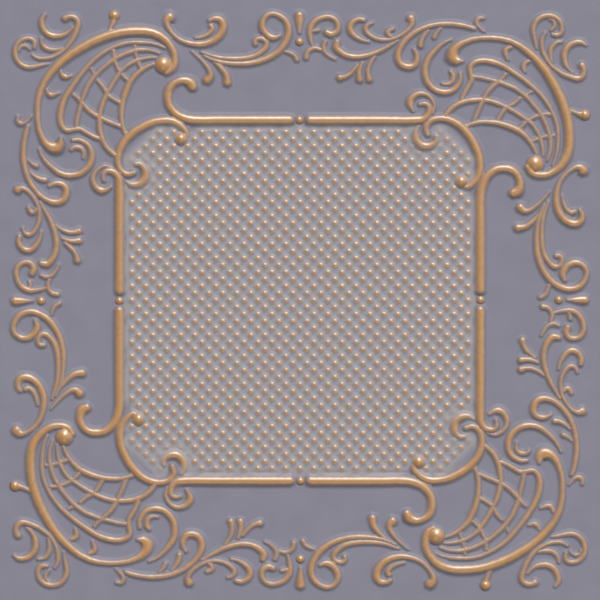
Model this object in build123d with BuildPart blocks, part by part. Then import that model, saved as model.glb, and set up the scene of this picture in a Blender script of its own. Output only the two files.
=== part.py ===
from build123d import *
from math import cos, radians, sin
import os

# A pressed ceiling tile: one thermoformed plastic sheet that copies an old stamped tin panel.
# The sheet lies face up, its flat ground on Z = 0, and every rib is raised out of the ground
# and open from behind. The same quarter design is turned four times about the middle.

# Driving dimensions, in millimetres
tile_side = 603.0
sheet_thickness = 0.8
rib_foot = 0.7
rib_low_rise = 0.5
rib_rise_rate = 0.9
rib_crown_share = 0.45
least_hollow_half_width = 2.0
end_ball_radius = 7.5
arch_ball_radius = 5.4
knob_radius = 4.2
pearl_radius = 3.6
dome_rise_share = 0.8
large_bead_sides = 14
small_bead_sides = 10
dome_rings = 4

# The ornament is drawn on a grid of 600 units across the tile, with its origin at the upper
# left corner and y running down the panel
drawing_units = 600.0
unit = tile_side / drawing_units
middle_x = 300.0
middle_y = 300.5
quarter_turns = 4
rib_root = sheet_thickness / 2
cut_below = 0.5

# Each rib is a course of stations: x, y on the drawing grid, and half the rib's width in
# millimetres. All of them lie in the upper left quarter.

# The corner shell: its thick back, three ribs that follow it and its inner edge
shell_back = [
    (54, 148, 3.6), (47.5, 144, 2.7), (41, 134, 2.1), (38.2, 120, 1.9), (38.5, 105, 2.1),
    (42.5, 88.5, 2.4), (51.5, 73.5, 2.8), (64, 61, 3.1), (80, 49.8, 3.4), (98, 40.5, 3.6),
    (114, 35, 3.6), (130, 32.3, 3.6), (146, 32.2, 3.5), (160, 36.2, 3.3), (170, 45, 2.9),
    (175, 57, 2.7), (172.5, 69.5, 2.6),
]
shell_outer_rib = [
    (165, 48.5, 0.7), (150, 43.8, 1.2), (134, 43.2, 1.4), (120, 45.6, 1.4), (106, 52.2, 1.5),
    (93, 62, 1.6), (82, 74.5, 1.8), (71, 90, 2.0), (64, 103, 2.2), (60.8, 116, 2.3),
    (61.6, 124.5, 2.0), (66.5, 130.3, 1.9), (79, 129.6, 1.7), (88, 133.7, 1.6), (102, 139.5, 1.4),
]
shell_middle_rib = [
    (160, 54, 0.8), (150, 51, 1.2), (139, 50.8, 1.5), (125, 54.9, 1.5), (110, 63.3, 1.5),
    (98, 73.5, 1.6), (88, 87, 1.6), (82.3, 102, 1.5), (78, 119, 1.4), (76.8, 129, 1.3),
]
shell_inner_rib = [
    (156, 58.3, 0.7), (147, 58.9, 1.1), (137, 61.3, 1.4), (127, 66.8, 1.4), (119, 75.5, 1.5),
    (111, 88, 1.6), (104, 102, 1.7), (100.5, 115, 1.8), (100.2, 127, 1.9), (103, 139.5, 1.9),
    (110, 151, 1.9), (117, 156.5, 1.4),
]
shell_edge = [
    (154, 64.8, 1.2), (142, 70.8, 1.6), (134, 78, 1.9), (127, 90, 2.3), (122.8, 105, 2.0),
    (122.3, 122, 1.6), (127, 137, 1.4),
]
shell_cross_ribs = [
    [(135.5, 47, 1.1), (136.5, 56, 1.1), (139.5, 65, 1.1), (141.5, 69.5, 1.1)],
    [(114.3, 52, 1.3), (115, 60, 1.3), (118.8, 70, 1.3), (129, 81.5, 1.3)],
    [(98.5, 81.5, 1.2), (106.3, 92, 1.4), (112, 98.5, 1.4), (120.5, 103.3, 1.4)],
    [(74.5, 95.5, 1.2), (83, 104, 1.6), (95, 115.3, 1.6), (110, 122.5, 1.6), (121, 127, 1.3)],
]
shell_foot_scroll = [
    (40, 150, 0.8), (45, 160, 1.4), (54, 169, 2.0), (65, 175.3, 2.3), (77, 175.3, 2.4),
    (87.5, 169, 2.4), (92.3, 158, 2.4), (89.8, 147, 2.1), (82, 141.2, 1.8), (73.5, 140.8, 1.2),
]

# The bead frame round the field: an arch across the corner and the hooked ends of two bars
corner_arch = [
    (186.8, 135, 1.6), (180, 125.3, 2.6), (168, 120.9, 2.9), (156, 122, 2.9), (144, 126.8, 3.0),
    (133, 133.7, 3.0), (124.5, 142.5, 2.9), (119.3, 153.5, 2.6), (118.7, 164, 2.4),
    (122.5, 171.5, 2.3), (130, 174.8, 2.2), (135.5, 172.8, 1.5),
]
arch_hook = [
    (136.5, 164.5, 1.4), (141.8, 165.4, 2.0), (146, 171, 2.5), (145.5, 180, 2.5),
    (139.5, 184.8, 2.5), (131, 185, 1.9), (126.5, 182, 0.8),
]
side_bar = [
    (120.2, 291, 3.4), (120.2, 186, 3.3), (119.4, 179, 2.9), (116, 173.6, 2.4), (110, 171.4, 2.2),
    (104.6, 174.6, 1.8), (104, 181, 1.1),
]
side_bar_crescent = [
    (113, 168.5, 0.8), (105.5, 166.4, 1.2), (97, 171, 1.4), (93.5, 180, 1.8), (97.5, 188.5, 2.3),
    (105, 190.5, 2.2), (111.5, 187.3, 0.9),
]
upper_bar = [
    (290, 120.6, 3.6), (192, 120.6, 3.5), (183, 118, 3.3), (174.5, 112.5, 3.1),
    (169, 103, 2.9), (169, 92, 3.0), (174.5, 84.4, 2.7), (184, 80.9, 2.6), (191, 82.6, 3.0),
]

# The scrolls outside the frame: the corner, then the left side, then the upper side
corner_cup = [
    (45.5, 15.5, 0.8), (42.6, 22, 2.0), (45, 31, 2.2), (54, 37, 2.3), (66, 35, 1.8),
    (73, 28.5, 0.8),
]
corner_stem = [
    (65.5, 19, 1.4), (72, 17.5, 1.9), (78, 22.5, 2.2), (76.5, 33, 1.9), (70, 45, 1.6),
    (60, 54.5, 1.4), (48, 59.2, 1.4), (33.5, 56, 0.8),
]
corner_crescent = [(42, 39.5, 0.8), (44.5, 47, 1.7), (53, 50.8, 1.6), (63, 49.5, 0.8)]
corner_volute = [
    (49, 64.8, 0.7), (38, 66.8, 1.5), (26, 67.3, 1.8), (17.5, 60, 1.9), (16.3, 49, 1.9),
    (22, 41, 1.8), (30.5, 39.7, 1.7), (35.3, 44.6, 1.7), (34.5, 49, 1.0),
]
left_outer_stem = [
    (29, 127, 1.6), (25, 143, 1.8), (24.5, 161, 2.0), (29, 179, 1.9), (40, 195, 2.1),
    (54, 202.6, 2.4), (64, 199.5, 2.5), (66.6, 190.5, 2.4), (60, 184, 2.1), (50, 186.5, 1.2),
]
left_upper_sprig = [
    (22, 188.5, 1.6), (30, 192.5, 1.5), (38.3, 205, 1.3), (40, 220, 1.4), (35.5, 231, 1.7),
    (29, 235, 1.8), (23.8, 229, 0.8),
]
left_lower_sprig = [
    (20.3, 237, 1.6), (21.5, 246, 2.1), (28.5, 250.6, 2.3), (36.5, 246, 1.9), (42, 232, 0.8),
]
left_branch = [
    (41, 203, 0.8), (50, 218.5, 1.7), (56.3, 236, 2.0), (57, 250, 2.2), (52, 260.5, 2.5),
    (43, 264, 2.0),
]
left_ring = [
    (47, 287.8, 0.8), (36, 290.6, 1.7), (23.5, 287, 2.2), (17.3, 276, 1.9), (20, 266, 1.9),
    (28.5, 262.6, 2.0), (34, 268.5, 2.2),
]
left_hook = [(18.5, 118, 1.6), (20.3, 123.6, 2.0), (26.5, 123.5, 1.3), (32, 117, 0.7)]
knob_stalk = [(115, 19, 2.4), (113, 26, 1.6), (109.5, 33, 1.1)]
upper_left_stem = [
    (166.3, 21, 2.1), (168.5, 28, 1.8), (176, 37.5, 1.6), (190, 44.2, 2.0), (205, 44.7, 2.4),
    (217, 39, 2.8), (223, 29.5, 2.8), (220.3, 21.3, 2.3), (212, 19.8, 1.7),
]
upper_branch = [
    (202, 53, 0.8), (213, 57, 1.4), (227, 59.3, 1.7), (241, 59.4, 1.9), (254, 57, 2.0),
    (264, 50, 2.0), (264.3, 41.5, 1.8), (257, 40, 1.4),
]
upper_stem = [
    (205, 57, 0.8), (218, 62.2, 1.4), (234, 64.5, 1.8), (250, 64.2, 2.1), (265, 60.3, 2.2),
    (278, 52.5, 2.4), (286.5, 41, 2.5), (288.3, 28.5, 2.4), (282, 18.5, 2.1), (271.5, 14.8, 1.8),
    (263.5, 20.5, 2.1), (263.5, 31, 2.4), (271, 38, 2.4), (279.8, 36.6, 1.3),
]
upper_inner_leaf = [
    (196, 55.5, 0.8), (204, 63, 1.3), (210.5, 72.5, 1.8), (208.5, 80.5, 2.3), (201, 81.5, 1.6),
]
upper_outer_leaf = [(214, 62.5, 0.8), (222, 69.5, 1.9), (227.3, 78, 2.4), (227, 87, 1.9)]

# Domed bosses at the ends of scrolls: x, y on the drawing grid
large_beads = [((164, 65.5), end_ball_radius), ((181.5, 139.5), arch_ball_radius)]
knobs = [(58, 147), (194.5, 86), (115, 16.5)]
side_pearls = [(299.5, 120.5), (299.5, 42.5)]
teardrop = [(299.5, 17, 3.4), (299.5, 24, 2.6), (299.5, 34, 0.8)]

broad_ribs = [
    shell_back, shell_foot_scroll, corner_arch, arch_hook, side_bar, upper_bar, left_outer_stem,
    upper_left_stem, upper_stem,
]
narrow_ribs = [
    shell_outer_rib, shell_middle_rib, shell_inner_rib, shell_edge, *shell_cross_ribs,
    side_bar_crescent, corner_cup, corner_stem, corner_crescent, corner_volute,
    left_upper_sprig, left_lower_sprig, left_branch, left_ring, left_hook, knob_stalk,
    upper_branch, upper_inner_leaf, upper_outer_leaf,
]


def on_tile(x, y):
    """A point of the drawing as a point on the tile, in millimetres from its middle."""
    return Vector((x - middle_x) * unit, (middle_y - y) * unit)


def rise_of(half_width):
    """How far the crown of a rib stands above the ground."""
    return rib_low_rise + rib_rise_rate * half_width


def station_planes(course):
    """One upright plane across the rib at each station, its X to the left and its Y up."""
    points = [on_tile(x, y) for x, y, half_width in course]
    runs = [(after - before).normalized() for before, after in zip(points, points[1:])]
    ways = [runs[0]] + [a + b for a, b in zip(runs, runs[1:])] + [runs[-1]]
    return [
        Plane(origin=point, x_dir=Vector(0, 0, 1).cross(way), z_dir=way)
        for point, way in zip(points, ways)
    ]


def rib(course):
    """A raised rib: flat crown, sloping flanks, its root inside the sheet."""
    with BuildPart() as body:
        for plane, (x, y, half_width) in zip(station_planes(course), course):
            foot = half_width + rib_foot
            crown = foot * rib_crown_share
            slope = (foot - crown) / rise_of(half_width)
            root = foot + slope * (sheet_thickness - rib_root)
            top = sheet_thickness + rise_of(half_width)
            with BuildSketch(plane):
                Polygon((root, rib_root), (crown, top), (-crown, top), (-root, rib_root), align=None)
        loft(ruled=True)
    return body.part


def widest_run(course):
    """The longest unbroken run of stations that are wide enough to be hollow behind."""
    runs = [[]]
    for place, (x, y, half_width) in enumerate(course):
        if half_width < least_hollow_half_width:
            runs.append([])
        else:
            runs[-1].append(place)
    return max(runs, key=len)


def hollow(course):
    """The groove behind a rib, one sheet thickness inside its flanks and crown."""
    planes = station_planes(course)
    with BuildPart() as body:
        for place in widest_run(course):
            half_width = course[place][2]
            foot = half_width + rib_foot
            slope = foot * (1 - rib_crown_share) / rise_of(half_width)
            inset = sheet_thickness * (1 + slope**2) ** 0.5
            roof_height = rise_of(half_width)
            mouth = foot - inset + slope * (sheet_thickness + cut_below)
            roof = foot - inset - slope * (roof_height - sheet_thickness)
            with BuildSketch(planes[place]):
                Polygon(
                    (mouth, -cut_below), (roof, roof_height), (-roof, roof_height), (-mouth, -cut_below),
                    align=None,
                )
        loft(ruled=True)
    return body.part


def bead(place, radius, sides):
    """A round boss with a domed top, in flat-sided rings that narrow like a circle's arc."""
    rise = radius * dome_rise_share
    with BuildPart() as body:
        with BuildSketch(Plane.XY.offset(rib_root)):
            RegularPolygon(radius, sides)
        for ring in range(dome_rings):
            turn = 90.0 * ring / dome_rings
            with BuildSketch(Plane.XY.offset(sheet_thickness + rise * sin(radians(turn)))):
                RegularPolygon(radius * cos(radians(turn)), sides)
        loft(ruled=True)
    return body.part.moved(Location(on_tile(*place)))


# One quarter of the panel with its share of the ornament
with BuildPart() as quarter:
    with BuildSketch():
        with Locations((-tile_side / 4, tile_side / 4)):
            Rectangle(tile_side / 2, tile_side / 2)
    extrude(amount=sheet_thickness)
    raised = [rib(course) for course in broad_ribs + narrow_ribs]
    raised += [bead(place, radius, large_bead_sides) for place, radius in large_beads]
    raised += [bead(place, knob_radius, small_bead_sides) for place in knobs]
    add(raised, clean=False)
    add([hollow(course) for course in broad_ribs], mode=Mode.SUBTRACT, clean=False)

with BuildPart() as ceiling_tile:
    with PolarLocations(0, quarter_turns):
        add(quarter.part)
    middle_pieces = [bead(place, pearl_radius, small_bead_sides) for place in side_pearls]
    middle_pieces.append(rib(teardrop))
    with PolarLocations(0, quarter_turns):
        add(middle_pieces)

ceiling_tile.part.label = "ceiling_tile"

os.makedirs("parts", exist_ok=True)
export_step(ceiling_tile.part, "parts/ceiling_tile.step")
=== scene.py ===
import math
from collections import namedtuple

import bpy
from mathutils import Matrix, Vector
from mathutils.geometry import delaunay_2d_cdt


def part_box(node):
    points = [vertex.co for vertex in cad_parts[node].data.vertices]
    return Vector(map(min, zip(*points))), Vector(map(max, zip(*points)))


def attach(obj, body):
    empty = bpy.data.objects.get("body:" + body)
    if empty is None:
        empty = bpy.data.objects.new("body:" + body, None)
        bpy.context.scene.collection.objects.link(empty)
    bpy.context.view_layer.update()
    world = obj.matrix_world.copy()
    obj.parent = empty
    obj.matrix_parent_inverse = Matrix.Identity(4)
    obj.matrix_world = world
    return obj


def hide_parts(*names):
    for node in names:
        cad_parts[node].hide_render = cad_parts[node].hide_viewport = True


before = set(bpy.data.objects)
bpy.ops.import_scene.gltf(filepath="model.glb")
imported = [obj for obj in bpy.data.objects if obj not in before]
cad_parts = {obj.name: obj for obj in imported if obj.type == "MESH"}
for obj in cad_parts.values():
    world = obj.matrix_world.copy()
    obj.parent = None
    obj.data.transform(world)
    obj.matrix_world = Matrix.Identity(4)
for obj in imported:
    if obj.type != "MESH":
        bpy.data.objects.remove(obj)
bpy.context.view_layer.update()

# The whole tile is one formed sheet. A flat net of triangles is laid out along the courses of
# its ribs, then a node tree presses the relief into it and gives it its thickness.

# Sizes, in metres
MM = 0.001
low_corner, high_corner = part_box("ceiling_tile")
tile_side = high_corner.x - low_corner.x
sheet_thickness = 0.8 * MM
greatest_rise = high_corner.z - sheet_thickness

# The drawing of the ornament: 600 units across the tile, y down, quarter turned four times
drawing_units = 600.0
unit = tile_side / drawing_units
drawing_middle = (300.0, 300.5)
quarter_turns = 4

# A rib's rise, its reach from middle line to foot, the flatness of its crown and the gold
# rubbed on it all grow with its half width. Its slimness says how soon it falls off its crown.
low_rise = 0.8 * MM
rise_rate = 0.85
reach_margin = 2.9 * MM
reach_rate = 1.7
rib_slimness = 3.2
flatness_rate = 0.09 / MM
rub_margin = 0.56
rub_rate = 0.145 / MM
round_crown = 1.0

# A bead's rise and reach go by its radius. A very short line marks its middle.
bead_slimness = 1.0
bead_rise_rate = 0.8
bead_reach_rate = 1.32
bead_rub = 1.5
bead_seed = 0.02 * MM

# The dotted field. The lattice has four steps for each pitch of the dots, and low places lie
# the valleys' steps away from a dot. A dot may overlap the frame's foot, and it has its full
# strength where it is clear of the frame by the clearance. The field's corners are cut where
# x and y add up to the corner's measure.
dot_pitch = 14.04 * MM
lattice_steps = 4
valleys = ((1, 1), (1, -1), (-1, 1), (-1, -1), (2, 0), (-2, 0), (0, 2), (0, -2))
dot_rows = 12
dot_reach = 5.2 * MM
dot_rise = 1.55 * MM
dot_slimness = 2.0
dot_rub = 1.3
dot_overlap = 3.0 * MM
dot_clearance = 5.5 * MM
field_half_side = 171 * MM
field_corner = 313.5 * MM

# How far from the nearest dot's middle the field's dust begins to fade, and where it ends
dust_fades = 7.1 * MM
dust_ends = 9.5 * MM

# The flat net: its longest step along a course, points that are welded, what counts as a broad
# rib, where a rib's round ends have points, and the share of a bend's radius that the rib's
# inner side may take. A bend under the least one counts as straight.
longest_step = 12 * MM
weld_distance = 0.01 * MM
broad_half_width = 1.9 * MM
cap_angles = [math.radians(angle) for angle in (50, 0, -50)]
inner_share = 0.85
least_bend = 1e-3

# The pressing: how finely courses are followed, the least distance and level that a slope is
# worked out from, and how a face and an edge of the rim are told from the rest
course_step = 0.5 * MM
least_run = 0.01 * MM
least_level = 0.12
rim_steepness = 0.05
rim_bend = math.radians(70)

# The finish's colours. Grey and gold have two tones each, which run into one another.
grey_paint = ("#7E7C89", "#898895")
dust_colour = "#9A9699"
# Brown of a glaze that also serves as painted shade, darkening the ground at the foot of each rib
brown_glaze_and_shade = "#6A5C52"
gold_paint = ("#AB7530", "#C68F49")

# The finish's own sizes: patches of rubbed gold, haze in the sprayed grey, and spray grain drawn
# about twice as coarse as it is, because finer grain wouldn't show
rub_patch = 5 * MM
rub_detail = 3.0
haze_patch = 30 * MM
haze_detail = 4.0
grain_size = 0.9 * MM
grain_detail = 2.0
grain_depth = 0.05 * MM
grain_strength = 0.12

# How worn a place must be for gold, and for the brown glaze with its painted shade at the ribs'
# feet, to show: 0 is the flat ground, 1 the crown of a broad rib, and a bead's crown is above
# that. The noise stays mostly between its two levels.
noise_low, noise_high = 0.3, 0.7
rub_wander = 0.06
gold_starts = 0.3
gold_full = 1.04
glaze_and_shade_starts = 0.03
glaze_and_shade_full = 0.26
glaze_and_shade_share = 0.22
dot_thinness = 0.16

# Sheen of the dull grey and of the rubbed gold. Both are paints, so neither is metallic.
pigment_ior = 1.8
paint_gloss = 0.16
gold_gloss = 0.95
paint_roughness = 0.6
gold_roughness = 0.41

# The floor, a hair below the tile
floor_half = 4.0
floor_drop = 0.5 * MM
floor_colour = "#E6E6E4"
floor_roughness = 0.9

# The photo frames the tile to within a hair of its rim, a touch above its middle
camera_aside = 0.4 * MM
frame_width = 601.4 * MM
camera_lens = 200
sensor_width = 36
camera_sight = 20

# The studio's lamps: each one's share of the light, and in degrees its height, its bearing
# counted anticlockwise from the picture's right, and how wide it looks from the tile
Lamp = namedtuple("Lamp", "name share height bearing width")
lamps = (
    Lamp("key", 0.6, 44, 83, 16),
    Lamp("side", 0.13, 42, 22, 70),
    Lamp("low_side", 0.06, 52, -95, 20),
)

# Stations of the ribs in the upper left quarter: x and y on the drawing, half width in units.
# Each gold half width is read at the rib's shoulder, not at its foot.
shell_back = [
    (61.6, 138.6, 1.0), (61.4, 143.4, 3.2), (58, 147.7, 5.3), (52.5, 147.9, 4.3), (47, 144.2, 3.0),
    (42.7, 137.6, 2.3), (39.6, 129, 2.0), (38.3, 120, 1.9), (38.1, 110, 2.0), (39, 100, 2.1),
    (41.3, 91, 2.3), (45.5, 82, 2.4), (51.5, 73.8, 2.7), (58, 66.5, 2.9), (64, 61, 3.1),
    (71, 55.4, 3.2), (80, 49.8, 3.4), (90, 44.2, 3.5), (98, 40.5, 3.6), (106, 37.5, 3.6),
    (114, 35, 3.6), (122, 33.2, 3.6), (130, 32.3, 3.6), (138, 32, 3.6), (146, 32.2, 3.5),
    (153, 33.5, 3.4), (160, 36.2, 3.3), (166, 40.5, 3.0), (171, 46.5, 2.8), (174.3, 53, 2.7),
    (175.2, 60, 2.7), (174.3, 66, 2.7), (171.5, 70.6, 2.6), (167, 73.2, 2.4),
]
shell_outer_rib = [
    (165, 48.5, 0.7), (158, 45.5, 0.9), (150, 43.8, 1.2), (142, 43.3, 1.3), (134, 43.2, 1.4),
    (127, 43.9, 1.4), (120, 45.6, 1.4), (113, 48.5, 1.4), (106, 52.2, 1.5), (99, 57, 1.5),
    (93, 62, 1.6), (87, 68.5, 1.7), (80, 77, 1.8), (75, 84, 1.9), (71, 90, 2.0), (66.5, 97, 2.1),
    (63.5, 104, 2.2), (61.8, 110, 2.3), (60.8, 116, 2.3), (61, 121, 2.2), (62, 125, 2.1),
    (64, 128.5, 2.0), (66.5, 130.6, 1.9), (70, 131, 1.8), (74, 130.2, 1.8), (78, 129.5, 1.7),
    (82, 130, 1.7), (86, 132.5, 1.7), (90, 134.8, 1.7), (94, 137, 1.6), (98, 138.7, 1.6),
    (102, 139.5, 1.5),
]
shell_middle_rib = [
    (160, 54, 0.8), (155, 52.2, 1.0), (150, 51, 1.2), (145, 50.6, 1.4), (140, 50.7, 1.5),
    (135, 51.6, 1.5), (130, 53, 1.5), (125, 54.9, 1.5), (120, 57.2, 1.5), (115, 60, 1.5),
    (110, 63.3, 1.5), (105, 67.5, 1.5), (100, 71.8, 1.5), (95, 77, 1.6), (91, 82.5, 1.6),
    (88, 87, 1.6), (86, 92, 1.6), (84, 97, 1.5), (82.3, 102, 1.5), (81, 107, 1.5),
    (79.5, 113, 1.4), (78, 119, 1.4), (77.3, 124, 1.3), (76.8, 129, 1.3),
]
shell_inner_rib = [
    (156, 58.3, 0.7), (152, 58.4, 0.9), (147, 58.9, 1.1), (142, 59.9, 1.3), (137, 61.3, 1.4),
    (132, 63.6, 1.4), (127, 66.8, 1.4), (123, 70.3, 1.5), (120, 74, 1.5), (117, 78.5, 1.5),
    (114, 83, 1.5), (111, 88, 1.6), (108.5, 92.5, 1.6), (106.3, 97, 1.6), (104, 102, 1.7),
    (102.3, 107, 1.7), (101, 112, 1.8), (100.2, 117, 1.8), (100, 122, 1.9), (100.2, 127, 1.9),
    (100.8, 132, 1.9), (102, 137, 1.9), (103.8, 142, 1.9), (106.5, 147, 1.9), (110, 151, 1.9),
    (113.5, 154, 1.8), (117.5, 156.8, 1.6),
]
shell_edge = [
    (154, 64.8, 1.2), (150, 66.3, 1.3), (146, 68.2, 1.5), (142, 70.8, 1.6), (138, 74, 1.8),
    (134, 78, 2.0), (131, 82, 2.2), (128.5, 87, 2.3), (126, 93, 2.2), (124.3, 98.5, 2.1),
    (122.8, 105, 2.0), (122.2, 111, 1.9), (122, 117, 1.8), (122.3, 122, 1.6), (123.3, 127, 1.5),
    (125, 132, 1.5), (127.5, 137.5, 1.4),
]
shell_cross_ribs = [
    [(135.5, 47, 1.0), (135.7, 51, 1.1), (136.5, 56, 1.1), (138, 60.5, 1.1), (139.5, 65, 1.1),
     (141.5, 69.5, 1.1)],
    [(114.3, 52, 1.2), (114.3, 56, 1.2), (115, 60, 1.3), (116.5, 65, 1.3), (118.8, 70, 1.3),
     (121.5, 74.3, 1.3), (125, 78, 1.3), (129, 81.5, 1.3)],
    [(92, 69.5, 0.8), (95.5, 76.5, 0.8)],
    [(98.5, 81.5, 1.1), (101, 84, 1.3), (103.8, 87.5, 1.4), (106.3, 92, 1.4), (108.5, 95.8, 1.4),
     (112, 98.5, 1.4), (116.5, 101.2, 1.4), (120.5, 103.3, 1.4)],
    [(74.5, 95.5, 1.1), (77.5, 97.8, 1.3), (80.5, 101, 1.5), (83, 104, 1.6), (86.5, 108, 1.6),
     (90.5, 112, 1.6), (95, 115.3, 1.6), (100, 118, 1.6), (105, 120.3, 1.6), (110, 122.5, 1.6),
     (115.5, 124.8, 1.5), (121, 127, 1.5)],
]
shell_commas = [
    [(61.5, 72, 1.0), (62.3, 74.5, 1.6), (64.5, 77, 2.2), (68, 77.8, 1.6), (72, 76.5, 0.8)],
    [(47.5, 90, 1.0), (48.5, 93, 1.6), (51, 95.5, 2.2), (54.5, 95.5, 1.6), (60, 93.5, 0.8)],
]
shell_foot_scroll = [
    (40, 150, 0.8), (42, 155, 1.0), (45, 160, 1.4), (49, 164.5, 1.7), (54, 169, 2.0),
    (59, 172.8, 2.2), (65, 175.3, 2.3), (71, 176, 2.4), (77, 175.3, 2.4), (83, 172.8, 2.4),
    (87.5, 169, 2.4), (90.8, 164, 2.4), (92.3, 158, 2.4), (92, 152, 2.2), (89.8, 147, 2.1),
    (86, 143.3, 2.0), (82, 141.2, 1.8), (78.5, 140.3, 1.6), (73.5, 140.8, 1.2),
]
shell_foot_curl = [
    (72, 150, 1.3), (74.5, 148, 1.7), (78, 147.8, 2.0), (81.5, 148.8, 1.9), (84, 152, 1.5),
    (84.5, 155.5, 1.1), (84, 158.5, 0.8),
]

# The bead frame: an arch across each corner and the ends of the two bars that meet it
corner_arch = [
    (186, 137.5, 1.4), (187, 134, 2.0), (184.5, 129.5, 2.4), (180, 125.3, 2.6), (174, 122, 2.8),
    (168, 120.9, 2.9), (162, 121.2, 2.9), (156, 122, 2.9), (150, 124, 3.0), (144, 126.8, 3.0),
    (138, 130, 3.0), (133, 133.7, 3.0), (128.5, 138, 3.0), (124.5, 142.5, 2.9),
    (121.3, 148, 2.8), (119.3, 153.5, 2.6), (118.5, 159, 2.5), (118.7, 164, 2.4),
    (120, 168.5, 2.4), (122.5, 172, 2.3), (126, 174.3, 2.3), (130, 174.8, 2.2),
    (134.5, 173.2, 1.8),
]
arch_hook = [
    (136.5, 164.5, 1.6), (139.5, 164.3, 1.9), (143, 166.5, 2.2), (145.3, 170, 2.7),
    (146.2, 174.5, 3.0), (145.3, 179, 3.1), (142.8, 182.2, 3.0), (139, 184.5, 2.8),
    (135, 185.3, 2.4), (131, 184.8, 1.8), (126.5, 182, 0.8),
]
side_bar = [
    (120.2, 290.6, 3.5), (120.2, 250, 3.5), (120.2, 215, 3.4), (120.2, 186, 3.3),
    (119.8, 180, 3.0), (118, 176, 2.6), (114.5, 172.7, 2.4), (110, 171.4, 2.2),
    (106.5, 172, 2.0), (104.3, 174.5, 1.8), (103.8, 178, 1.5), (104.5, 181, 1.2),
]
side_bar_crescent = [
    (113, 168.5, 0.8), (109, 167, 1.0), (105.5, 166.4, 1.2), (101, 168, 1.3), (97, 171, 1.4),
    (94.5, 175, 1.6), (93.5, 180, 1.8), (95, 185, 2.2), (98, 189, 2.5), (102.5, 191, 2.8),
    (107, 190, 1.9), (111.5, 187.3, 0.9),
]
upper_bar = [
    (289.6, 120.6, 3.6), (250, 120.6, 3.6), (215, 120.6, 3.6), (194, 120.6, 3.5),
    (188, 119.6, 3.4), (183, 118, 3.3), (178, 115.5, 3.2), (173.5, 111.5, 3.0), (170, 106.5, 2.9),
    (168.3, 100.5, 2.9), (168.3, 94.5, 3.0), (170, 89, 2.9), (173.5, 84.8, 2.7), (178.5, 82, 2.6),
    (183.5, 80.9, 2.8), (188, 81.9, 3.6), (191.6, 84.4, 4.3), (193.2, 87.8, 3.2),
]

# The scrolls outside the frame, from the corner down the left side and along the upper side
corner_cup = [
    (45.5, 15.5, 0.8), (43.5, 18, 1.5), (42.5, 21, 2.0), (42.8, 26, 2.1), (45, 31, 2.2),
    (49, 35, 2.3), (55, 37, 2.3), (60, 36.8, 2.1), (66, 35, 1.7), (70, 32, 1.2), (73, 28.5, 0.8),
]
corner_stem = [
    (65.8, 19.3, 2.5), (68.5, 17.8, 1.9), (72, 17.5, 1.9), (76, 18.8, 2.1), (78.5, 22, 2.2),
    (78.5, 27, 2.1), (76.5, 33, 1.9), (74, 39, 1.7), (70, 45, 1.6), (66, 50, 1.4), (60, 54.5, 1.3),
    (54, 57.5, 1.4), (48, 59.2, 1.5), (42, 59.5, 1.5), (37, 58.3, 1.1), (33.5, 56, 0.8),
]
corner_crescent = [
    (42, 39.5, 0.8), (42.3, 43, 1.2), (44.5, 47, 1.7), (48, 49.7, 1.7), (53, 50.8, 1.6),
    (58, 50.5, 1.2), (63, 49.5, 0.8),
]
corner_volute = [
    (49, 64.8, 0.6), (44, 65.5, 1.1), (38, 66.8, 1.5), (32, 68, 1.8), (26, 67.3, 1.8),
    (21, 64.5, 1.8), (17.5, 60, 1.9), (16, 55, 1.9), (16.3, 49, 1.9), (18.5, 44.5, 1.8),
    (22, 41, 1.7), (27, 39.4, 1.6), (32, 39.8, 1.7), (35, 42.5, 2.0), (35.5, 45.5, 1.6),
    (35, 48.5, 1.0),
]
corner_volute_curl = [
    (19.5, 51, 0.9), (20.5, 48.5, 1.2), (23, 46.9, 1.3), (26, 46.7, 1.3), (28.5, 48, 1.0),
    (30.5, 50, 0.8),
]
left_hook = [
    (18.6, 117.5, 1.0), (18.3, 120.5, 1.5), (19.8, 123.3, 1.8), (22.8, 124.3, 1.6),
    (26.3, 123, 1.2), (29.3, 120.2, 0.9), (32, 117, 0.6),
]
left_outer_stem = [
    (29, 127, 1.5), (27.5, 131, 1.7), (26, 137, 1.8), (25, 143, 1.9), (24.3, 149, 1.9),
    (24.2, 155, 2.0), (24.5, 161, 2.0), (25.3, 167, 1.9), (26.8, 173, 1.9), (29, 179, 1.9),
    (32, 185, 2.0), (36, 190.5, 2.0), (40, 195, 2.1), (45, 199, 2.1), (50, 201.5, 2.2),
    (56, 202.8, 2.5), (61, 202, 2.6), (65, 199, 2.6), (67, 194, 2.6), (66.8, 189, 2.5),
    (64.3, 185.7, 2.4), (60, 183.8, 2.2), (54, 184.3, 1.7), (50, 186.5, 1.2),
]
left_leaflets = [
    [(29, 160.5, 0.6), (31.5, 163, 1.0), (34.5, 165.3, 1.5), (37.5, 166.5, 1.6)],
    [(31, 172.5, 0.8), (34, 175.5, 1.2), (38, 178.3, 1.6), (42, 180, 1.9), (46, 180.3, 2.0)],
]
left_upper_sprig = [
    (18.8, 190, 3.2), (22.5, 188.6, 2.0), (26, 189.7, 1.6), (30, 192.5, 1.5), (33, 196, 1.4),
    (36, 200.5, 1.3), (38.3, 205, 1.3), (39.8, 210, 1.3), (40.3, 215, 1.4), (40, 220, 1.4),
    (38.8, 225, 1.5), (36.5, 229.5, 1.6), (33, 233.5, 1.8), (30, 235, 1.9), (26.5, 234, 1.6),
    (24.3, 231.5, 1.2), (23.5, 228.5, 0.8),
]
left_sprig_leaf = [
    (29.5, 208, 1.4), (30.5, 210.5, 1.8), (33, 212.8, 2.0), (35.5, 211.8, 1.7), (37.5, 209.8, 1.2),
]
left_lower_sprig = [
    (20.3, 237, 1.7), (19.5, 241, 1.9), (20.5, 245, 2.0), (23, 248.5, 2.2), (27, 250.5, 2.4),
    (31, 250.2, 2.3), (34.5, 248, 2.1), (37.5, 244.5, 1.8), (40, 240, 1.4), (41.5, 235.5, 1.0),
    (42, 232, 0.8),
]
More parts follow.
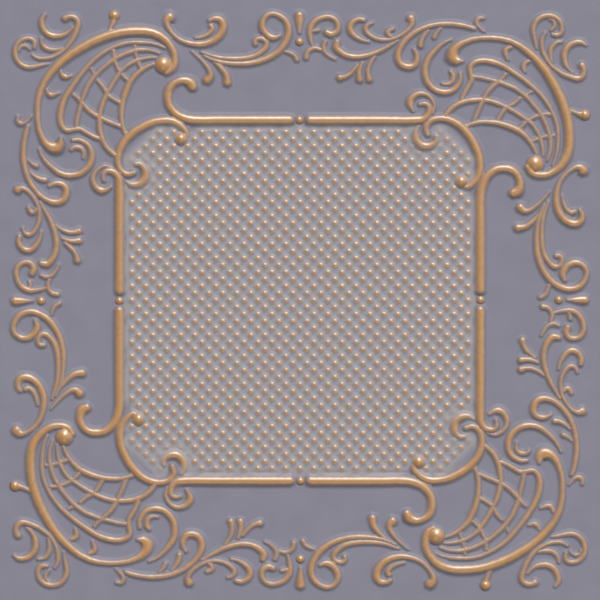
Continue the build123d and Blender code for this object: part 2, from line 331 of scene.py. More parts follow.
left_branch = [
    (41, 203, 0.8), (44, 208, 1.1), (47, 213, 1.4), (50, 218.5, 1.7), (52.5, 224, 1.8),
    (54.7, 230, 1.9), (56.3, 236, 2.0), (57.2, 242, 2.1), (57, 248, 2.1), (56, 253, 2.1),
    (54, 257.5, 2.3), (51.5, 261, 2.6), (47.5, 264.4, 2.8), (42, 263.5, 2.0),
]
left_branch_leaves = [
    [(57, 226, 1.0), (60.5, 228.8, 1.3), (65, 231.3, 1.5), (70, 232.8, 1.6), (75, 232.7, 1.7),
     (79.5, 231.5, 2.5)],
    [(63, 238.5, 1.0), (67, 240.3, 1.5), (71.5, 241.5, 1.8), (76, 241.5, 1.9), (79.5, 241, 2.6)],
    [(66, 243.5, 1.1), (70, 247, 1.4), (73.5, 250, 1.6), (76, 253.5, 1.7), (77.5, 257.5, 1.8),
     (78, 260.5, 2.7)],
]
left_ring = [
    (47, 287.8, 0.8), (43, 289.2, 1.2), (38, 290.2, 1.6), (33, 290.8, 1.9), (28, 290, 2.2),
    (23.5, 287.5, 2.1), (20, 283.5, 2.0), (17.8, 278, 1.9), (17, 272.5, 1.9), (18.5, 267.5, 1.9),
    (21.5, 264, 1.9), (26, 262.5, 1.9), (30.5, 263, 2.1), (33.5, 266, 2.4), (34.5, 270, 2.5),
    (33, 273.5, 2.3),
]
left_ring_tick = [(30.5, 282, 1.2), (31, 285, 1.3), (31.5, 288.5, 1.3)]
left_ring_link = [
    (42, 275.5, 1.2), (45, 276.8, 1.4), (48.5, 277, 1.6), (52, 275.8, 1.4), (55, 273, 1.2),
    (57.5, 269.5, 1.0), (59.3, 265.5, 0.7),
]
left_ring_tail = [
    (50, 280, 1.2), (48.7, 284, 1.4), (49, 288, 1.6), (51, 291.5, 1.7), (54, 293.8, 1.8),
    (58, 294.4, 1.9),
]
knob_stalk = [(115, 18.5, 2.5), (113.5, 24, 1.7), (111.5, 28.5, 1.4), (109.5, 33, 1.2)]
upper_left_stem = [
    (170.3, 18.3, 4.0), (167.6, 20.5, 3.0), (167, 24.5, 2.0), (169, 29, 1.7), (172, 33.5, 1.6),
    (176, 37.5, 1.6), (180, 40.5, 1.7), (185, 42.7, 1.8), (190, 44.2, 2.0), (195, 45, 2.2),
    (200, 45.2, 2.4), (205, 44.7, 2.5), (210, 43.2, 2.6), (215, 40.6, 2.7), (219, 37.2, 2.8),
    (222, 32.8, 2.9), (223.5, 28, 2.9), (223, 23.5, 2.8), (220.5, 20.5, 2.5), (217, 19.3, 2.2),
    (213, 19.6, 1.9), (210, 21.3, 1.5),
]
upper_left_curl = [
    (196, 39, 0.8), (200, 38.3, 1.1), (204, 37.2, 1.4), (208, 35.3, 1.6), (211, 32.5, 1.8),
    (212.5, 29.5, 1.9), (211.5, 27, 1.9),
]
upper_branch = [
    (202, 53, 0.8), (207, 54.8, 1.1), (213, 57, 1.4), (220, 58.6, 1.5), (227, 59.3, 1.7),
    (234, 59.6, 1.8), (241, 59.4, 1.9), (248, 58.6, 1.9), (254, 57, 2.0), (259, 54.5, 2.0),
    (263, 51.2, 2.0), (266, 47.5, 2.0), (266.3, 43.5, 1.9), (264, 40.5, 1.8), (260.5, 39.4, 1.7),
    (257, 40, 1.7), (255.2, 42.5, 1.7), (255.5, 45, 1.6),
]
upper_stem = [
    (205, 57, 0.8), (211, 59.8, 1.1), (218, 62.2, 1.4), (226, 63.8, 1.6), (234, 64.5, 1.8),
    (242, 64.7, 2.0), (250, 64.2, 2.1), (258, 62.6, 2.2), (265, 60.3, 2.2), (272, 56.8, 2.3),
    (278, 52.5, 2.4), (282.5, 47.8, 2.4), (286, 42, 2.5), (288.3, 36, 2.5), (288.8, 30, 2.4),
    (287.5, 24.5, 2.3), (284.5, 20, 2.2), (280.5, 17, 2.0), (276, 15, 1.9), (271.5, 14.6, 1.8),
    (267.5, 16, 1.9), (264.5, 19, 2.0), (262.5, 23, 2.2), (262.5, 28, 2.4), (264.5, 32.5, 2.5),
    (268, 36.2, 2.6), (272, 38.3, 2.5), (276, 38.3, 2.0), (279.8, 36.6, 1.2),
]
upper_leaves = [
    [(285.5, 52.5, 0.9), (289, 53.3, 1.1), (292.5, 54.8, 1.3), (295.5, 57.5, 1.5),
     (297, 60.5, 1.6)],
    [(192, 52, 0.5), (196, 55.5, 0.8), (200, 59, 1.0), (204, 63, 1.3), (207.5, 67.5, 1.6),
     (210.5, 72.5, 1.8), (210.8, 77, 2.4), (207.5, 80.6, 3.4)],
    [(214, 62.5, 0.6), (218, 65.5, 1.5), (222, 69.5, 1.9), (225.5, 74, 2.2), (227.3, 79, 2.5),
     (227.6, 83.3, 3.0)],
]
teardrop = [
    (299.5, 16.6, 3.3), (299.5, 20, 3.1), (299.5, 24, 2.5), (299.5, 29, 1.6), (299.5, 33.5, 0.7),
]
rib_courses = [
    shell_back, shell_outer_rib, shell_middle_rib, shell_inner_rib, shell_edge, *shell_cross_ribs,
    *shell_commas, shell_foot_scroll, shell_foot_curl, corner_arch, arch_hook, side_bar,
    side_bar_crescent, upper_bar, corner_cup, corner_stem, corner_crescent, corner_volute,
    corner_volute_curl, left_hook, left_outer_stem, *left_leaflets, left_upper_sprig,
    left_sprig_leaf, left_lower_sprig, left_branch, *left_branch_leaves, left_ring,
    left_ring_tick, left_ring_link, left_ring_tail, knob_stalk, upper_left_stem, upper_left_curl,
    upper_branch, upper_stem, *upper_leaves, teardrop,
]

# Round beads: x and y on the drawing, radius in units
beads = [
    (164, 65.8, 8.0), (181.5, 139.5, 5.9), (191.8, 85.2, 5.2), (115, 16.5, 4.9),
    (299.5, 120.5, 3.8), (299.5, 42.5, 3.8),
]


def on_tile(x, y):
    """A point of the drawing, in metres from the middle of the tile."""
    return Vector(((x - drawing_middle[0]) * unit, (drawing_middle[1] - y) * unit))


def turned(point, turn):
    """A point carried round the middle of the tile by quarter turns."""
    x, y = point
    for _ in range(turn):
        x, y = -y, x
    return Vector((x, y))


def rise_of(half_width):
    """How far a rib of this half width stands above the ground."""
    return low_rise + rise_rate * half_width


def reach_of(half_width):
    """How far the foot of a rib spreads from its middle line."""
    return reach_margin + reach_rate * half_width


def flatness_of(half_width):
    """How flat a rib's crown is: a narrow one is round, a broad one nearly flat across."""
    return round_crown + flatness_rate * half_width


def rub_of(half_width):
    """How much gold the rubbing leaves on a rib's crown."""
    return min(1.0, rub_margin + rub_rate * half_width)


# How finely each face of the sheet is cut into triangles: the bend for each step of a course,
# lines at shares of a broad or narrow rib's reach, and rings round beads and dots
Fineness = namedtuple("Fineness", "bend broad narrow bead_sides bead_rings dot_sides dot_rings")
front_fineness = Fineness(
    bend=math.radians(17), broad=(0.2, 0.42, 0.68, 1.0), narrow=(0.28, 0.6, 1.0),
    bead_sides=18, bead_rings=(0.25, 0.5, 0.7, 0.85, 0.95, 1.03),
    dot_sides=7, dot_rings=(0.36, 0.72),
)
back_fineness = Fineness(
    bend=math.radians(30), broad=(0.36, 0.66, 1.0), narrow=(0.52, 1.0),
    bead_sides=10, bead_rings=(0.5, 0.8, 1.03), dot_sides=6, dot_rings=(),
)


def smooth_course(stations, bend_per_step):
    """Points, directions and half widths along a smooth curve through the stations."""
    points = [on_tile(x, y) for x, y, half_width in stations]
    widths = [half_width * unit for x, y, half_width in stations]
    gaps = [(b - a).length for a, b in zip(points, points[1:])]
    ways = [(b - a) / gap for a, b, gap in zip(points, points[1:], gaps)]
    tangents = [ways[0]]
    for before, after, gap, next_gap in zip(ways, ways[1:], gaps, gaps[1:]):
        tangents.append((before * next_gap + after * gap) / (gap + next_gap))
    tangents.append(ways[-1])
    course = []
    for i, gap in enumerate(gaps):
        bend = tangents[i].angle(tangents[i + 1], 0.0)
        steps = max(1, math.ceil(bend / bend_per_step), math.ceil(gap / longest_step))
        last = i == len(gaps) - 1
        for step in range(steps + last):
            t = step / steps
            # Cubic shares of both stations and of the directions through them, then their rates
            here, there = 2 * t**3 - 3 * t**2 + 1, 3 * t**2 - 2 * t**3
            leave, arrive = (t**3 - 2 * t**2 + t) * gap, (t**3 - t**2) * gap
            place = points[i] * here + points[i + 1] * there
            place = place + tangents[i] * leave + tangents[i + 1] * arrive
            fall, leave, arrive = 6 * t**2 - 6 * t, 3 * t**2 - 4 * t + 1, 3 * t**2 - 2 * t
            way = (points[i] - points[i + 1]) * (fall / gap)
            way = way + tangents[i] * leave + tangents[i + 1] * arrive
            course.append((place, way.normalized(), widths[i] * (1 - t) + widths[i + 1] * t))
    return course


class Net:
    """Points and lines of the flat sheet before it is cut into triangles."""

    def __init__(self):
        self.points = []
        self.lines = []

    def add_points(self, points):
        first = len(self.points)
        self.points.extend(points)
        return list(range(first, len(self.points)))

    def add_line(self, points, closed):
        places = self.add_points(points)
        self.lines.extend(zip(places, places[1:]))
        if closed:
            self.lines.append((places[-1], places[0]))


def side_reach(reach, bend):
    """A reach on the inner side of a bend, held short of the bend's centre."""
    return min(reach, inner_share / max(abs(bend), least_bend))


def lay_rib(net, course, fineness):
    """Lines along one rib, closed round both of its ends."""
    net.add_line([place for place, way, half_width in course], closed=False)
    bends = []
    for before, after in zip(course, course[1:]):
        bends.append(-before[1].angle_signed(after[1], 0.0) / (after[0] - before[0]).length)
    bends = [bends[0]] + [(a + b) / 2 for a, b in zip(bends, bends[1:])] + [bends[-1]]
    broad = max(half_width for place, way, half_width in course) > broad_half_width
    for share in fineness.broad if broad else fineness.narrow:
        left, right = [], []
        for (place, way, half_width), bend in zip(course, bends):
            across = Vector((-way.y, way.x))
            reach = share * reach_of(half_width)
            inner = side_reach(reach, bend)
            left.append(place + across * (inner if bend > 0 else reach))
            right.append(place - across * (inner if bend < 0 else reach))
        caps = []
        for (place, way, half_width), sense in ((course[-1], 1), (course[0], -1)):
            out = way * (sense * share * reach_of(half_width))
            caps.append([place + Matrix.Rotation(angle, 2) @ out for angle in cap_angles])
        net.add_line(left + caps[0] + right[::-1] + caps[1], closed=True)


def ring(centre, radius, sides):
    """Points evenly round a circle."""
    arm = Vector((radius, 0.0))
    return [centre + Matrix.Rotation(math.tau * k / sides, 2) @ arm for k in range(sides)]


def mesh_object(name, points, edges=(), faces=()):
    """An object at the origin, with a flat mesh."""
    mesh = bpy.data.meshes.new(name)
    mesh.from_pydata([(point[0], point[1], 0.0) for point in points], list(edges), list(faces))
    made = bpy.data.objects.new(name, mesh)
    bpy.context.scene.collection.objects.link(made)
    return made


def give_points(made, name, values, kind="FLOAT"):
    """Stores one value for each point of a mesh."""
    made.data.attributes.new(name, kind, "POINT").data.foreach_set("value", values)


def all_turns(stations, fineness):
    """A rib's smooth course in each of the four quarters of the tile."""
    course = smooth_course(stations, fineness.bend)
    return [
        [(turned(place, turn), turned(way, turn), width) for place, way, width in course]
        for turn in range(quarter_turns)
    ]


def lattice_place(column, row):
    """A place on the lattice of the dotted field, counted in its steps from the middle."""
    return Vector((column, row)) * (dot_pitch / lattice_steps)


def cut_net(fineness, bead_places, dots):
    """The whole tile's flat net for one of its faces, cut into triangles."""
    net = Net()
    for stations in rib_courses:
        for course in all_turns(stations, fineness):
            lay_rib(net, course, fineness)
    for centre, radius in bead_places:
        net.add_points([centre])
        for share in fineness.bead_rings:
            reach = radius * bead_reach_rate * share
            net.add_line(ring(centre, reach, fineness.bead_sides), closed=True)
    for column, row in dots:
        centre = lattice_place(column, row)
        net.add_points([centre])
        for share in fineness.dot_rings:
            net.add_points(ring(centre, dot_reach * share, fineness.dot_sides))
    low_places = {(column + i, row + j) for column, row in dots for i, j in valleys}
    net.add_points([lattice_place(column, row) for column, row in sorted(low_places)])
    net.add_line(corners, closed=True)
    vertices, edges, triangles = delaunay_2d_cdt(net.points, net.lines, [], 0, weld_distance)[:3]
    return vertices, triangles


# Where the relief is highest: the ribs' courses, the beads' middles and the field's dots
section_sizes = ("reach", "rise", "slimness", "flatness", "rub")
Seed = namedtuple("Seed", ("place", "course", *section_sizes))
seeds = []
seed_lines = []
for number, stations in enumerate(rib_courses):
    for course in all_turns(stations, front_fineness):
        first = len(seeds)
        for place, way, width in course:
            seeds.append(Seed(
                place, number, reach_of(width), rise_of(width), rib_slimness,
                flatness_of(width), rub_of(width),
            ))
        seed_lines.extend((k, k + 1) for k in range(first, len(seeds) - 1))
bead_places = []
for number, (x, y, radius) in enumerate(beads, len(rib_courses)):
    reach = radius * unit * bead_reach_rate
    rise = min(radius * unit * bead_rise_rate, greatest_rise)
    for turn in range(quarter_turns):
        centre = turned(on_tile(x, y), turn)
        bead_places.append((centre, radius * unit))
        seed_lines.append((len(seeds), len(seeds) + 1))
        for aside in (-bead_seed, bead_seed):
            seeds.append(Seed(
                centre + Vector((aside, 0.0)), number, reach, rise, bead_slimness, round_crown,
                bead_rub,
            ))

# The dots lie on a diagonal lattice that the bead frame clips, faint where they come near it
dots = {}
half_pitch = lattice_steps // 2
outermost = dot_rows * lattice_steps
for column in range(-outermost, outermost + 1, half_pitch):
    for row in range(-outermost, outermost + 1, half_pitch):
        centre = lattice_place(column, row)
        inside = max(abs(centre.x), abs(centre.y)) < field_half_side
        if (column + row) % lattice_steps == 0 and inside:
            clear = min((centre - seed.place).length - seed.reach for seed in seeds) + dot_overlap
            clear = min(clear, field_corner - abs(centre.x) - abs(centre.y))
            if clear > 0:
                dots[column, row] = min(1.0, clear / dot_clearance)

corners = [
    Vector(corner) for corner in (
        (low_corner.x, low_corner.y), (high_corner.x, low_corner.y),
        (high_corner.x, high_corner.y), (low_corner.x, high_corner.y),
    )
]
front_points, front_faces = cut_net(front_fineness, bead_places, dots)
back_points, back_faces = cut_net(back_fineness, bead_places, dots)


def corner_places(points, first):
    """The four corners' places in a list of points, counted on from a first number."""
    return [
        first + min(range(len(points)), key=lambda k: (points[k] - corner).length)
        for corner in corners
    ]


# Front and back in one mesh, the back's faces turned over, joined at the rim
front_count = len(front_points)
sheet_faces = list(front_faces)
sheet_faces.extend([front_count + k for k in reversed(face)] for face in back_faces)
front_rim = corner_places(front_points, 0)
back_rim = corner_places(back_points, front_count)
for k in range(len(corners)):
    sheet_faces.append((front_rim[k - 1], back_rim[k - 1], back_rim[k], front_rim[k]))


def node(tree, kind, links=None, **settings):
    """Adds one node with its settings, each socket fed by a value, a socket or a whole node."""
    new = tree.nodes.new(kind)
    for name, value in settings.items():
        setattr(new, name, value)
    for key, source in (links or {}).items():
        if isinstance(key, int):
            socket = new.inputs[key]
        else:
            socket = next(each for each in new.inputs if each.enabled and each.name == key)
        if isinstance(source, bpy.types.Node):
            source = next(each for each in source.outputs if each.enabled)
        if isinstance(source, bpy.types.NodeSocket):
            tree.links.new(source, socket)
        else:
            socket.default_value = source
    return new


def pressed_section(tree, distance, away, reach, rise, slimness, flatness):
    """The rounded section of a rib or dot: share of its crown, height and slope at a distance."""
    kind = "ShaderNodeMath"
    share = node(tree, kind, {0: distance, 1: reach}, operation="DIVIDE", use_clamp=True)
    angle = node(tree, kind, {0: share, 1: flatness}, operation="POWER")
    angle = node(tree, kind, {0: angle, 1: math.pi / 2}, operation="MULTIPLY")
    level = node(tree, kind, {0: angle}, operation="COSINE", use_clamp=True)
    crown = node(tree, kind, {0: level, 1: slimness}, operation="POWER")
    height = node(tree, kind, {0: crown, 1: rise}, operation="MULTIPLY")
    # Its slope outwards: height x slimness x flatness x tangent of the angle x angle / distance,
    # with the tangent held where the foot runs out, so that no crease shows there
    fall = node(tree, kind, {0: angle}, operation="SINE")
    level = node(tree, kind, {0: level, 1: least_level}, operation="MAXIMUM")
    fall = node(tree, kind, {0: fall, 1: level}, operation="DIVIDE")
    fall = node(tree, kind, {0: fall, 1: angle}, operation="MULTIPLY")
    fall = node(tree, kind, {0: fall, 1: flatness}, operation="MULTIPLY")
    fall = node(tree, kind, {0: fall, 1: height}, operation="MULTIPLY")
    fall = node(tree, kind, {0: fall, 1: slimness}, operation="MULTIPLY")
    run = node(tree, kind, {0: distance, 1: least_run}, operation="MAXIMUM")
    fall = node(tree, kind, {0: fall, 1: run}, operation="DIVIDE")
    slope = node(tree, "ShaderNodeVectorMath", {0: away, "Scale": fall}, operation="SCALE")
    slope = node(tree, "ShaderNodeVectorMath", {0: slope, "Scale": -1.0}, operation="SCALE")
    return crown, height, slope


def keep_highest(tree, mesh, rub, crown, height, slope):
    """Stores a relief wherever it stands above what is already pressed, its height last."""
    present = node(tree, "GeometryNodeInputNamedAttribute", {"Name": "height"})
    higher = node(
        tree, "FunctionNodeCompare", {"A": height, "B": present}, operation="GREATER_THAN"
    )
    for name, kind, value in (
        ("slope", "FLOAT_VECTOR", slope), ("crown", "FLOAT", crown), ("rub", "FLOAT", rub),
        ("height", "FLOAT", height),
    ):
        mesh = node(
            tree, "GeometryNodeStoreNamedAttribute",
            {"Geometry": mesh, "Selection": higher, "Name": name, "Value": value}, data_type=kind,
        )
    return mesh


def nearest_on(tree, lines, kind, names):
    """Distance and direction from a line's or point's nearest place, and its sizes there."""
    place = node(tree, "GeometryNodeInputPosition")
    near = node(tree, "GeometryNodeProximity", {0: lines, 2: place}, target_element=kind)
    away = node(tree, "ShaderNodeVectorMath", {0: place, 1: near}, operation="SUBTRACT")
    away = node(tree, "ShaderNodeVectorMath", {0: away}, operation="NORMALIZE")
    index = node(tree, "GeometryNodeSampleNearest", {0: lines, 1: near})
    sizes = []
    for name in names:
        size = node(tree, "GeometryNodeInputNamedAttribute", {"Name": name})
        sizes.append(node(
            tree, "GeometryNodeSampleIndex", {"Geometry": lines, "Value": size, "Index": index}
        ))
    return near.outputs["Distance"], away, sizes


def shade_by_slope(tree, sheet):
    """Turns the shading of front and back to the pressed slope, and leaves the rim flat."""
    face_way = node(tree, "GeometryNodeInputNormal")
    sheet = node(
        tree, "GeometryNodeStoreNamedAttribute",
        {"Geometry": sheet, "Name": "face_way", "Value": face_way},
        data_type="FLOAT_VECTOR", domain="FACE",
    )
    face_way = node(
        tree, "GeometryNodeInputNamedAttribute", {"Name": "face_way"}, data_type="FLOAT_VECTOR"
    )
    slope = node(
        tree, "GeometryNodeInputNamedAttribute", {"Name": "slope"}, data_type="FLOAT_VECTOR"
    )
    upright = node(
        tree, "ShaderNodeVectorMath", {0: (0.0, 0.0, 1.0), 1: slope}, operation="SUBTRACT"
    )
    upright = node(tree, "ShaderNodeVectorMath", {0: upright}, operation="NORMALIZE")
    face_up = node(tree, "ShaderNodeSeparateXYZ", {0: face_way}).outputs["Z"]
    side = node(tree, "ShaderNodeMath", {0: face_up}, operation="SIGN")
    turned_way = node(tree, "ShaderNodeVectorMath", {0: upright, "Scale": side}, operation="SCALE")
    steep = node(tree, "ShaderNodeMath", {0: face_up}, operation="ABSOLUTE")
    on_rim = node(
        tree, "FunctionNodeCompare", {"A": steep, "B": rim_steepness}, operation="LESS_THAN"
    )
    way = node(
        tree, "GeometryNodeSwitch", {"Switch": on_rim, "False": turned_way, "True": face_way},
        input_type="VECTOR",
    )
    sheet = node(
        tree, "GeometryNodeSetMeshNormal", {"Mesh": sheet, "Custom Normal": way},
        mode="FREE", domain="CORNER",
    )
    for name in ("face_way", "slope", "height", "front"):
        sheet = node(tree, "GeometryNodeRemoveAttribute", {"Geometry": sheet, "Name": name})
    return sheet


def forming_tree():
    """Presses ribs, beads and dots into the flat net, then gives it its thickness."""
    tree = bpy.data.node_groups.new("Vacuum forming", "GeometryNodeTree")
    tree.interface.new_socket("Sheet", in_out="OUTPUT", socket_type="NodeSocketGeometry")
    for label, kind in (
        ("Net", "NodeSocketGeometry"), ("Courses", "NodeSocketObject"),
        ("Course count", "NodeSocketInt"), ("Course step", "NodeSocketFloat"),
        ("Dots", "NodeSocketObject"), ("Dot reach", "NodeSocketFloat"),
        ("Dot rise", "NodeSocketFloat"), ("Dot slimness", "NodeSocketFloat"),
        ("Dot rub", "NodeSocketFloat"), ("Dust fades", "NodeSocketFloat"),
        ("Dust ends", "NodeSocketFloat"), ("Thickness", "NodeSocketFloat"),
        ("Finish", "NodeSocketMaterial"),
    ):
        tree.interface.new_socket(label, in_out="INPUT", socket_type=kind)
    given = tree.nodes.new("NodeGroupInput").outputs

    # Ribs and beads, one course after another, the higher winning where they meet
    drawn = node(tree, "GeometryNodeObjectInfo", {"Object": given["Courses"]})
    curves = node(tree, "GeometryNodeMeshToCurve", {0: drawn.outputs["Geometry"]})
    curves = node(
        tree, "GeometryNodeResampleCurve", {"Curve": curves, "Length": given["Course step"]},
        mode="LENGTH",
    )
    courses = node(tree, "GeometryNodeCurveToMesh", {"Curve": curves})
    start = tree.nodes.new("GeometryNodeRepeatInput")
    end = tree.nodes.new("GeometryNodeRepeatOutput")
    start.pair_with_output(end)
    tree.links.new(given["Course count"], start.inputs["Iterations"])
    tree.links.new(given["Net"], start.inputs["Geometry"])
    number = node(tree, "GeometryNodeInputNamedAttribute", {"Name": "course"}, data_type="INT")
    chosen = node(
        tree, "FunctionNodeCompare", {2: number, 3: start.outputs["Iteration"]},
        data_type="INT", operation="EQUAL",
    )
    one = node(tree, "GeometryNodeSeparateGeometry", {"Geometry": courses, "Selection": chosen})
    distance, away, (*sizes, rub) = nearest_on(tree, one, "EDGES", section_sizes)
    section = pressed_section(tree, distance, away, *sizes)
    pressed = keep_highest(tree, start.outputs["Geometry"], rub, *section)
    tree.links.new(pressed.outputs[0], end.inputs["Geometry"])

    # The field's dots, all at once
    drawn = node(tree, "GeometryNodeObjectInfo", {"Object": given["Dots"]})
    distance, away, (strength,) = nearest_on(
        tree, drawn.outputs["Geometry"], "POINTS", ("strength",)
    )
    rise = node(tree, "ShaderNodeMath", {0: strength, 1: given["Dot rise"]}, operation="MULTIPLY")
    rub = node(tree, "ShaderNodeMath", {0: strength, 1: given["Dot rub"]}, operation="MULTIPLY")
    section = pressed_section(
        tree, distance, away, given["Dot reach"], rise, given["Dot slimness"], round_crown
    )
    pressed = keep_highest(tree, end.outputs["Geometry"], rub, *section)

    # Dust covers the dotted field, on the front alone, and fades out round its edge
    front = node(tree, "GeometryNodeInputNamedAttribute", {"Name": "front"})
    dust = node(
        tree, "ShaderNodeMapRange",
        {"Value": distance, "From Min": given["Dust fades"], "From Max": given["Dust ends"],
         "To Min": front, "To Max": 0.0},
    )
    pressed = node(
        tree, "GeometryNodeStoreNamedAttribute",
        {"Geometry": pressed, "Name": "dust", "Value": dust},
    )

    # The front stands one thickness above the back, and only the front is gilded
    height = node(tree, "GeometryNodeInputNamedAttribute", {"Name": "height"})
    lift = node(
        tree, "ShaderNodeMath", {0: front, 1: given["Thickness"], 2: height},
        operation="MULTIPLY_ADD",
    )
    lift = node(tree, "ShaderNodeCombineXYZ", {"Z": lift})
    sheet = node(tree, "GeometryNodeSetPosition", {"Geometry": pressed, "Offset": lift})
    rub = node(tree, "GeometryNodeInputNamedAttribute", {"Name": "rub"})
    rub = node(tree, "ShaderNodeMath", {0: rub, 1: front}, operation="MULTIPLY")
    sheet = node(
        tree, "GeometryNodeStoreNamedAttribute", {"Geometry": sheet, "Name": "rub", "Value": rub}
    )
    bend = node(tree, "GeometryNodeInputMeshEdgeAngle")
    at_rim = node(
        tree, "FunctionNodeCompare", {"A": bend, "B": rim_bend}, operation="GREATER_THAN"
    )
    sheet = node(tree, "GeometryNodeSetShadeSmooth", {"Geometry": sheet})
    sheet = node(
        tree, "GeometryNodeSetShadeSmooth",
        {"Geometry": sheet, "Selection": at_rim, "Shade Smooth": False}, domain="EDGE",
    )
    sheet = shade_by_slope(tree, sheet)
    sheet = node(tree, "GeometryNodeRealizeInstances", {"Geometry": sheet})
    sheet = node(
        tree, "GeometryNodeSetMaterial", {"Geometry": sheet, "Material": given["Finish"]}
    )
    tree.links.new(sheet.outputs[0], tree.nodes.new("NodeGroupOutput").inputs["Sheet"])
    return tree


def linear(hex_colour):
    """An sRGB hex colour as linear red, green, blue and alpha."""
    levels = [int(hex_colour[i:i + 2], 16) / 255 for i in (1, 3, 5)]
    levels = [v / 12.92 if v <= 0.04045 else ((v + 0.055) / 1.055) ** 2.4 for v in levels]
    return (*levels, 1.0)


def rubbed_gold_paint():
    """Pressed PVC sprayed slate grey, its raised ornament rubbed with antique gold paint."""
    # To the eye it is dull cool grey in the hollows, going through a thin brown edge, partly glaze
    # and partly painted shade at the ribs' feet, to warm satin gold that is strongest and shiniest
    # along the crowns, as if a cloth had passed there
    finish = bpy.data.materials.new("grey_painted_pvc_rubbed_with_gold")
    finish.use_nodes = True
    tree = finish.node_tree
    tree.nodes.clear()
    place = node(tree, "ShaderNodeTexCoord").outputs["Object"]
    crown = node(tree, "ShaderNodeAttribute", attribute_name="crown").outputs["Fac"]
    rubbed = node(tree, "ShaderNodeAttribute", attribute_name="rub").outputs["Fac"]
    dust = node(tree, "ShaderNodeAttribute", attribute_name="dust").outputs["Fac"]

    # The cloth's pressure wanders, so the gold's edge is uneven and never a printed line
    rub = node(
        tree, "ShaderNodeTexNoise",
        {"Vector": place, "Scale": 1 / rub_patch, "Detail": rub_detail},
    )
    worn = node(
        tree, "ShaderNodeMapRange",
        {"Value": rub, "From Min": noise_low, "From Max": noise_high,
         "To Min": -rub_wander, "To Max": rub_wander},
    )
    worn = node(tree, "ShaderNodeMath", {0: crown, 1: rubbed, 2: worn}, operation="MULTIPLY_ADD")
    gilding = node(
        tree, "ShaderNodeMapRange",
        {"Value": worn, "From Min": gold_starts, "From Max": gold_full},
        interpolation_type="SMOOTHSTEP",
    )

    # A slow haze keeps the grey from looking flat, and pale dust lightens the dotted field
    haze = node(
        tree, "ShaderNodeTexNoise",
        {"Vector": place, "Scale": 1 / haze_patch, "Detail": haze_detail},
    )
    grey = node(
        tree, "ShaderNodeMix",
        {"Factor": haze, "A": linear(grey_paint[0]), "B": linear(grey_paint[1])},
        data_type="RGBA",
    )
    grey = node(
        tree, "ShaderNodeMix", {"Factor": dust, "A": grey, "B": linear(dust_colour)},
        data_type="RGBA",
    )

    # On the fine dots the gold is rubbed on more thinly, and no brown glaze or painted shade is
    # laid between them
    thin_gold = node(
        tree, "ShaderNodeMath", {0: dust, 1: -dot_thinness, 2: 1.0}, operation="MULTIPLY_ADD"
    )
    gold_share = node(tree, "ShaderNodeMath", {0: gilding, 1: thin_gold}, operation="MULTIPLY")
    glaze_and_shade_most = node(
        tree, "ShaderNodeMath", {0: dust, 1: -glaze_and_shade_share, 2: glaze_and_shade_share},
        operation="MULTIPLY_ADD",
    )

    # Brown glaze with painted shade darkens the foot of the ribs, and two tones of gold give the
    # crowns their age
    glaze_and_shade = node(
        tree, "ShaderNodeMapRange",
        {"Value": worn, "From Min": glaze_and_shade_starts, "From Max": glaze_and_shade_full, "To Max": glaze_and_shade_most},
        interpolation_type="SMOOTHSTEP",
    )
    grey = node(
        tree, "ShaderNodeMix", {"Factor": glaze_and_shade, "A": grey, "B": linear(brown_glaze_and_shade)},
        data_type="RGBA",
    )
    gold = node(
        tree, "ShaderNodeMix",
        {"Factor": rub, "A": linear(gold_paint[0]), "B": linear(gold_paint[1])},
        data_type="RGBA",
    )
    colour = node(
        tree, "ShaderNodeMix", {"Factor": gold_share, "A": grey, "B": gold}, data_type="RGBA"
    )

    # The gold catches the light and the paint hardly does, and spray grain breaks up both
    gloss = node(
        tree, "ShaderNodeMapRange", {"Value": gilding, "To Min": paint_gloss, "To Max": gold_gloss}
    )
    rough = node(
        tree, "ShaderNodeMapRange",
        {"Value": gilding, "To Min": paint_roughness, "To Max": gold_roughness},
    )
    grain = node(
        tree, "ShaderNodeTexNoise",
        {"Vector": place, "Scale": 1 / grain_size, "Detail": grain_detail},
    )
    bump = node(
        tree, "ShaderNodeBump",
        {"Strength": grain_strength, "Distance": grain_depth, "Height": grain},
    )
    shader = node(
        tree, "ShaderNodeBsdfPrincipled",
        {"Base Color": colour, "IOR": pigment_ior, "Specular IOR Level": gloss,
         "Roughness": rough, "Normal": bump},
    )
    node(tree, "ShaderNodeOutputMaterial", {"Surface": shader})
    return finish


# Scaffold for the pressing: the courses, the dots and the flat net, all taken away after it
courses = mesh_object("rib_courses", [seed.place for seed in seeds], seed_lines)
give_points(courses, "course", [seed.course for seed in seeds], "INT")
for name in section_sizes:
    give_points(courses, name, [getattr(seed, name) for seed in seeds])
field = mesh_object("field_dots", [lattice_place(column, row) for column, row in dots])
give_points(field, "strength", list(dots.values()))

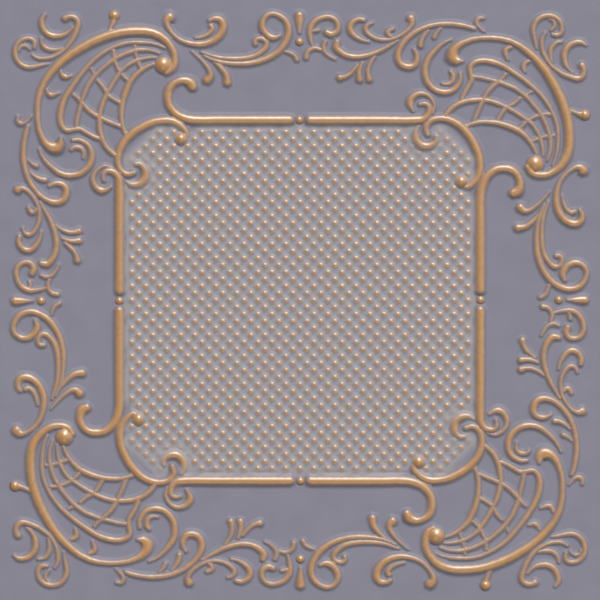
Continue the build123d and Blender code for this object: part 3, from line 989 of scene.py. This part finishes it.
flat_net = mesh_object("flat_net", front_points + back_points, faces=sheet_faces)
give_points(flat_net, "front", [1.0] * front_count + [0.0] * len(back_points))
forming = flat_net.modifiers.new("Vacuum forming", "NODES")
forming.node_group = forming_tree()
settings = {
    "Courses": courses, "Course count": len(rib_courses) + len(beads), "Course step": course_step,
    "Dots": field, "Dot reach": dot_reach, "Dot rise": dot_rise, "Dot slimness": dot_slimness,
    "Dot rub": dot_rub, "Dust fades": dust_fades, "Dust ends": dust_ends,
    "Thickness": sheet_thickness, "Finish": rubbed_gold_paint(),
}
for socket in forming.node_group.interface.items_tree:
    if socket.name in settings:
        forming[socket.identifier] = settings[socket.name]
formed = flat_net.evaluated_get(bpy.context.evaluated_depsgraph_get())
sheet = bpy.data.objects.new("pressed_sheet", bpy.data.meshes.new_from_object(formed))
bpy.context.scene.collection.objects.link(sheet)
for scaffold in (flat_net, courses, field):
    bpy.data.objects.remove(scaffold)

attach(sheet, "root")
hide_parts("ceiling_tile")

# Pale matt floor, quiet enough that the eye stays on the tile where a side view shows it
floor_mesh = bpy.data.meshes.new("floor")
floor_mesh.from_pydata(
    [(-floor_half, -floor_half, 0.0), (floor_half, -floor_half, 0.0),
     (floor_half, floor_half, 0.0), (-floor_half, floor_half, 0.0)], [], [(0, 1, 2, 3)],
)
floor = bpy.data.objects.new("floor", floor_mesh)
bpy.context.scene.collection.objects.link(floor)
floor.location.z = -floor_drop
floor_paint = bpy.data.materials.new("pale_matt_floor")
floor_paint.use_nodes = True
floor_shader = floor_paint.node_tree.nodes["Principled BSDF"]
floor_shader.inputs["Base Color"].default_value = linear(floor_colour)
floor_shader.inputs["Roughness"].default_value = floor_roughness
floor_mesh.materials.append(floor_paint)

# Camera straight above the tile
camera = bpy.data.objects.new("camera", bpy.data.cameras.new("camera"))
bpy.context.scene.collection.objects.link(camera)
camera.data.lens = camera_lens
camera.data.sensor_width = sensor_width
camera.data.clip_end = camera_sight
camera.location.y = camera_aside
camera.location.z = sheet_thickness + frame_width * camera_lens / sensor_width
bpy.context.scene.camera = camera

# Lamps that shine as suns, set so that flat ground gets its share of the light from each one.
# The rest of the light is white and comes from all round.
for lamp in lamps:
    sun = bpy.data.objects.new(lamp.name, bpy.data.lights.new(lamp.name, "SUN"))
    bpy.context.scene.collection.objects.link(sun)
    height = math.radians(lamp.height)
    sun.data.energy = math.pi * lamp.share / math.sin(height)
    sun.data.angle = math.radians(lamp.width)
    sun.rotation_euler = (0.0, math.pi / 2 - height, math.radians(lamp.bearing))
world = bpy.data.worlds.new("soft_fill")
world.use_nodes = True
background = world.node_tree.nodes["Background"]
background.inputs["Strength"].default_value = 1 - sum(lamp.share for lamp in lamps)
background.inputs["Color"].default_value = (1.0, 1.0, 1.0, 1.0)
bpy.context.scene.world = world
bpy.context.scene.view_settings.view_transform = "Standard"
